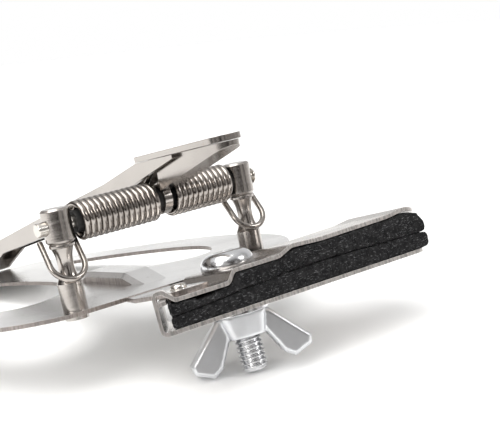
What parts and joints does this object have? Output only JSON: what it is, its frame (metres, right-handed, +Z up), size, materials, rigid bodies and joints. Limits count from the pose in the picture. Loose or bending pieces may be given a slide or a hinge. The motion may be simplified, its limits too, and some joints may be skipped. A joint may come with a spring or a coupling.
{
  "type": "marching music lyre with bell clamp",
  "caption": "Clip-on music lyre: stamped lyre plate with a sprung finger lever on an axle between two posts, and a felt-lined clamp closed by a screw and wing nut.",
  "frame": {"origin": "top face of the lyre plate, midway between the two posts, directly under the lever's axle", "axes": "+X along the axle towards the clamp's mouth, +Y along the finger lever towards the music end, +Z up out of the lyre plate"},
  "size_m": [0.0828, 0.105, 0.0423],
  "materials": {
    "nickel_sheet": "dull nickel plate",
    "nickel_turned": "bright nickel plate",
    "spring_wire": "plated spring wire",
    "black_tube": "matt",
    "felt": "pressed wool felt",
    "zinc": "zinc plate"
  },
  "bodies": {
    "lyre": {"lyre_plate": "nickel_sheet", "tab_rivet": "nickel_turned", "left_post": "nickel_turned", "right_post": "nickel_turned", "axle_rod": "nickel_turned", "axle_sleeve": "black_tube", "left_spring": "spring_wire", "right_spring": "spring_wire", "upper_jaw": "nickel_sheet", "upper_felt": "felt", "clamp_screw": "zinc"},
    "lever": {"finger_lever": "nickel_sheet", "thumb_plate": "nickel_sheet", "lever_cradle": "nickel_sheet"},
    "lower_leaf": {"lower_jaw": "nickel_sheet", "lower_felt": "felt"},
    "washer": {"jaw_washer": "zinc"},
    "nut": {"wing_nut": "zinc"}
  },
  "joints": [
    {"name": "lever_hinge", "type": "hinge", "parent": "lyre", "child": "lever", "pos_m": [0, 0, 0.015], "axis": [1, 0, 0], "range_deg": [0, 30], "stiffness_Nm_per_rad": 0.15, "springref_deg": -34.38, "deforming": ["left_spring", "right_spring"]},
    {"name": "nut_travel", "type": "slide", "parent": "lyre", "child": "washer", "axis": [0, -0.1219, -0.9925], "range_m": [0, 0.004]},
    {"name": "jaw_flex", "type": "hinge", "parent": "lyre", "child": "lower_leaf", "pos_m": [-0.0145, -0.0221, -0.00479], "axis": [0.5446, 0.8324, -0.1022], "range_deg": [0, 8.2]},
    {"name": "wing_spin", "type": "hinge", "parent": "washer", "child": "nut", "pos_m": [0.0046, -0.0144, -0.00768], "axis": [0, 0.1219, 0.9925], "continuous": true}
  ],
  "couplings": [
    {"joint": "jaw_flex", "follows": "nut_travel", "rad_per_m": 34.9}
  ]
}
